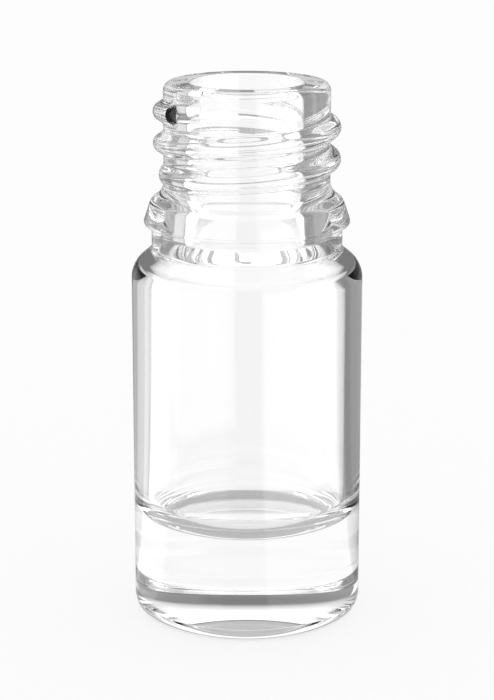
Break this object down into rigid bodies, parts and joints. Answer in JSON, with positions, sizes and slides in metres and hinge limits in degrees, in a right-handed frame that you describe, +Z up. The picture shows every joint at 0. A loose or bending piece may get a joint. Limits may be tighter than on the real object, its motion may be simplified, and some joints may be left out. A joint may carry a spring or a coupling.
{
  "type": "glass dropper bottle",
  "caption": "Small clear moulded glass bottle with a round body, very thick base, sloping shoulder and a screw-thread neck with a transfer bead, open at the top for a dropper insert.",
  "frame": {"origin": "centre of the circle that the bottle stands on", "axes": "+Z up the bottle's axis and out of its mouth, -Y towards the viewer of the picture, +X to that viewer's right"},
  "size_m": [0.022, 0.022, 0.0519],
  "materials": {
    "clear_glass": "clear flint glass, smooth fire-polished surface"
  },
  "bodies": {
    "root": {"glass_bottle": "clear_glass"}
  },
  "joints": []
}
